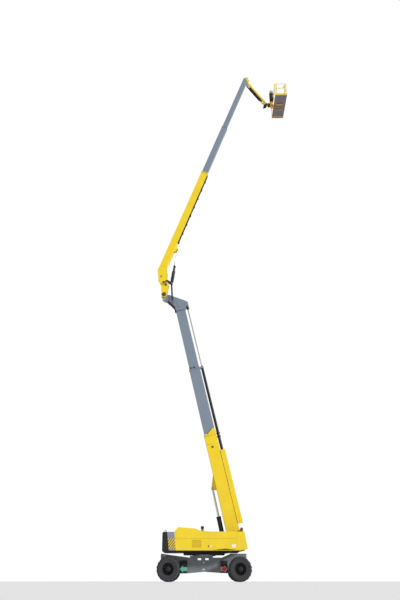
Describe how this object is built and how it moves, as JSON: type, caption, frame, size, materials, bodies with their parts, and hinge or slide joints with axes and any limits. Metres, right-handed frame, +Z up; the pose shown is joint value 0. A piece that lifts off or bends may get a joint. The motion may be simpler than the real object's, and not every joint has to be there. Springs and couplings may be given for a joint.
{
  "type": "articulating boom lift",
  "caption": "Self-propelled articulating boom lift with telescoping lower and upper booms, a jib and a railed work basket, standing raised on its wheels.",
  "frame": {"origin": "bottom centre of the whole machine's box at rest, on the floor", "axes": "+X from the counterweight towards the boom foot and the basket, +Y to the machine's left, +Z up"},
  "size_m": [9.7928, 2.49, 37.3839],
  "materials": {
    "grey_paint": "satin",
    "black_paint": "satin",
    "yellow_paint": "gloss",
    "tyre_rubber": "matte",
    "chromed_rod": "gloss",
    "steel": "satin",
    "engine_iron": "matte",
    "amber_lens": "gloss",
    "black_plastic": "matte"
  },
  "bodies": {
    "base": {"chassis_frame": "grey_paint", "side_lockers": "black_paint", "slew_ring": "steel", "axle_front": "grey_paint", "axle_rear": "grey_paint"},
    "turntable": {"turntable_frame": "black_paint", "counterweight": "black_paint", "tail_cabinets": "grey_paint", "hood_left": "yellow_paint", "hood_right": "yellow_paint", "engine_block": "engine_iron", "beacon": "amber_lens"},
    "lid_left": {"lid_left": "yellow_paint"},
    "lid_right": {"lid_right": "yellow_paint", "air_stack": "black_paint"},
    "lower_boom": {"lower_boom_base": "yellow_paint"},
    "lower_mid": {"lower_boom_mid": "grey_paint", "feed_barrel": "black_paint"},
    "lower_inner": {"lower_boom_inner": "grey_paint", "elbow_knuckle": "grey_paint", "feed_rod": "chromed_rod"},
    "lower_lift_barrel": {"lower_lift_barrel": "black_paint"},
    "lower_lift_rod": {"lower_lift_rod": "chromed_rod"},
    "upper_boom": {"upper_boom_base": "yellow_paint", "upper_tray": "black_paint"},
    "upper_mid": {"upper_boom_mid": "grey_paint"},
    "upper_inner": {"upper_boom_inner": "grey_paint"},
    "rocker": {"rocker_link": "black_paint"},
    "tie": {"tie_link": "black_paint"},
    "upper_lift_barrel": {"upper_lift_barrel": "black_paint"},
    "upper_lift_rod": {"upper_lift_rod": "chromed_rod"},
    "jib": {"jib_boom": "yellow_paint"},
    "jib_lift_barrel": {"jib_lift_barrel": "black_paint"},
    "jib_lift_rod": {"jib_lift_rod": "chromed_rod"},
    "leveller": {"level_bracket": "yellow_paint"},
    "basket": {"basket_mount": "grey_paint", "basket_floor": "steel", "rail_rear": "yellow_paint", "rail_front": "yellow_paint", "rail_left": "yellow_paint", "rail_right": "yellow_paint", "control_console": "black_plastic"},
    "gate": {"gate": "yellow_paint"},
    "knuckle_front_left": {"knuckle_front_left": "black_paint"},
    "wheel_front_left": {"rim_front_left": "black_paint", "tyre_front_left": "tyre_rubber"},
    "knuckle_front_right": {"knuckle_front_right": "black_paint"},
    "wheel_front_right": {"rim_front_right": "black_paint", "tyre_front_right": "tyre_rubber"},
    "knuckle_rear_left": {"knuckle_rear_left": "black_paint"},
    "wheel_rear_left": {"rim_rear_left": "black_paint", "tyre_rear_left": "tyre_rubber"},
    "knuckle_rear_right": {"knuckle_rear_right": "black_paint"},
    "wheel_rear_right": {"rim_rear_right": "black_paint", "tyre_rear_right": "tyre_rubber"}
  },
  "joints": [
    {"name": "slew", "type": "hinge", "parent": "base", "child": "turntable", "pos_m": [-1.7952, 0, 1.4328], "axis": [0, 0, 1], "continuous": true},
    {"name": "steer_front_left", "type": "hinge", "parent": "base", "child": "knuckle_front_left", "pos_m": [0.0798, 0.78, 0.5978], "axis": [0, 0, 1], "range_deg": [-30, 30]},
    {"name": "spin_front_left", "type": "hinge", "parent": "knuckle_front_left", "child": "wheel_front_left", "pos_m": [0.0798, 1.025, 0.5978], "axis": [0, 1, 0], "continuous": true},
    {"name": "steer_front_right", "type": "hinge", "parent": "base", "child": "knuckle_front_right", "pos_m": [0.0798, -0.78, 0.5978], "axis": [0, 0, 1], "range_deg": [-30, 30]},
    {"name": "spin_front_right", "type": "hinge", "parent": "knuckle_front_right", "child": "wheel_front_right", "pos_m": [0.0798, -1.025, 0.5978], "axis": [0, 1, 0], "continuous": true},
    {"name": "steer_rear_left", "type": "hinge", "parent": "base", "child": "knuckle_rear_left", "pos_m": [-3.6702, 0.78, 0.5978], "axis": [0, 0, 1], "range_deg": [-30, 30]},
    {"name": "spin_rear_left", "type": "hinge", "parent": "knuckle_rear_left", "child": "wheel_rear_left", "pos_m": [-3.6702, 1.025, 0.5978], "axis": [0, 1, 0], "continuous": true},
    {"name": "steer_rear_right", "type": "hinge", "parent": "base", "child": "knuckle_rear_right", "pos_m": [-3.6702, -0.78, 0.5978], "axis": [0, 0, 1], "range_deg": [-30, 30]},
    {"name": "spin_rear_right", "type": "hinge", "parent": "knuckle_rear_right", "child": "wheel_rear_right", "pos_m": [-3.6702, -1.025, 0.5978], "axis": [0, 1, 0], "continuous": true},
    {"name": "open_left_lid", "type": "hinge", "parent": "turntable", "child": "lid_left", "pos_m": [-1.7952, 0.634, 2.3998], "axis": [1, 0, 0], "range_deg": [0, 60]},
    {"name": "open_right_lid", "type": "hinge", "parent": "turntable", "child": "lid_right", "pos_m": [-1.7952, -0.634, 2.3998], "axis": [-1, 0, 0], "range_deg": [0, 60]},
    {"name": "raise_lower_boom", "type": "hinge", "parent": "turntable", "child": "lower_boom", "pos_m": [0.1448, 0.31, 2.3728], "axis": [0, 1, 0], "range_deg": [-77.2, 3]},
    {"name": "extend_lower_mid", "type": "slide", "parent": "lower_boom", "child": "lower_mid", "axis": [-0.2233, 0, 0.9748], "range_m": [-4.1, 0.1]},
    {"name": "extend_lower_inner", "type": "slide", "parent": "lower_mid", "child": "lower_inner", "axis": [-0.2233, 0, 0.9748], "range_m": [-4.05, 0.1]},
    {"name": "tilt_lower_cylinder", "type": "hinge", "parent": "turntable", "child": "lower_lift_barrel", "pos_m": [-0.5952, 0.31, 1.5028], "axis": [0, 1, 0], "range_deg": [-79.97, 5.03]},
    {"name": "push_lower_rod", "type": "slide", "parent": "lower_lift_barrel", "child": "lower_lift_rod", "axis": [-0.2088, 0, 0.978], "range_m": [-1.4447, 0.0754]},
    {"name": "raise_upper_boom", "type": "hinge", "parent": "lower_inner", "child": "upper_boom", "pos_m": [-4.39607, -0.23, 17.00331], "axis": [0, -1, 0], "range_deg": [-112.2, 5]},
    {"name": "extend_upper_mid", "type": "slide", "parent": "upper_boom", "child": "upper_mid", "axis": [0.3305, 0, 0.9438], "range_m": [-4.7, 0.1]},
    {"name": "extend_upper_inner", "type": "slide", "parent": "upper_mid", "child": "upper_inner", "axis": [0.3305, 0, 0.9438], "range_m": [-5.05, 0.1]},
    {"name": "turn_rocker", "type": "hinge", "parent": "upper_boom", "child": "rocker", "pos_m": [-4.62155, -0.23, 18.36538], "axis": [0, -1, 0], "range_deg": [-5.75, 86.2]},
    {"name": "turn_tie", "type": "hinge", "parent": "lower_inner", "child": "tie", "pos_m": [-3.84506, -0.23, 16.56931], "axis": [0, -1, 0], "range_deg": [-122.73, 7.38]},
    {"name": "tilt_upper_cylinder", "type": "hinge", "parent": "rocker", "child": "upper_lift_barrel", "pos_m": [-3.93006, -0.23, 17.90031], "axis": [0, -1, 0], "range_deg": [-97.05, 6.24]},
    {"name": "push_upper_rod", "type": "slide", "parent": "upper_lift_barrel", "child": "upper_lift_rod", "axis": [0.1297, 0, 0.9916], "range_m": [-1.0675, 0.0667]},
    {"name": "raise_jib", "type": "hinge", "parent": "upper_inner", "child": "jib", "pos_m": [1.86476, 0, 37.24137], "axis": [0, -1, 0], "range_deg": [0, 132]},
    {"name": "tilt_jib_cylinder", "type": "hinge", "parent": "upper_inner", "child": "jib_lift_barrel", "pos_m": [1.89476, 0, 36.74137], "axis": [0, -1, 0], "range_deg": [-2, 133]},
    {"name": "push_jib_rod", "type": "slide", "parent": "jib_lift_barrel", "child": "jib_lift_rod", "axis": [0.5141, 0, -0.8577], "range_m": [-0.02, 0.934]},
    {"name": "level_basket", "type": "hinge", "parent": "jib", "child": "leveller", "pos_m": [3.39639, 0, 34.66182], "axis": [0, 1, 0], "range_deg": [-35, 132]},
    {"name": "swing_basket", "type": "hinge", "parent": "leveller", "child": "basket", "pos_m": [3.80639, 0, 34.45182], "axis": [0, 0, 1], "range_deg": [-90, 90]},
    {"name": "open_gate", "type": "hinge", "parent": "basket", "child": "gate", "pos_m": [4.13039, -1.201, 35.05182], "axis": [0, 0, 1], "range_deg": [0, 90]}
  ],
  "couplings": [
    {"joint": "steer_front_right", "follows": "steer_front_left", "ratio": 1},
    {"joint": "steer_rear_right", "follows": "steer_rear_left", "ratio": 1},
    {"joint": "tilt_lower_cylinder", "follows": "raise_lower_boom", "ratio": 1.0099},
    {"joint": "push_lower_rod", "follows": "raise_lower_boom", "m_per_rad": 1.0574},
    {"joint": "turn_rocker", "follows": "raise_upper_boom", "ratio": -0.75044},
    {"joint": "turn_tie", "follows": "raise_upper_boom", "ratio": 1.0761},
    {"joint": "tilt_upper_cylinder", "follows": "raise_upper_boom", "ratio": 0.84717},
    {"joint": "push_upper_rod", "follows": "raise_upper_boom", "m_per_rad": 0.53491},
    {"joint": "tilt_jib_cylinder", "follows": "raise_jib", "ratio": 0.99246},
    {"joint": "push_jib_rod", "follows": "raise_jib", "m_per_rad": 0.39671}
  ]
}
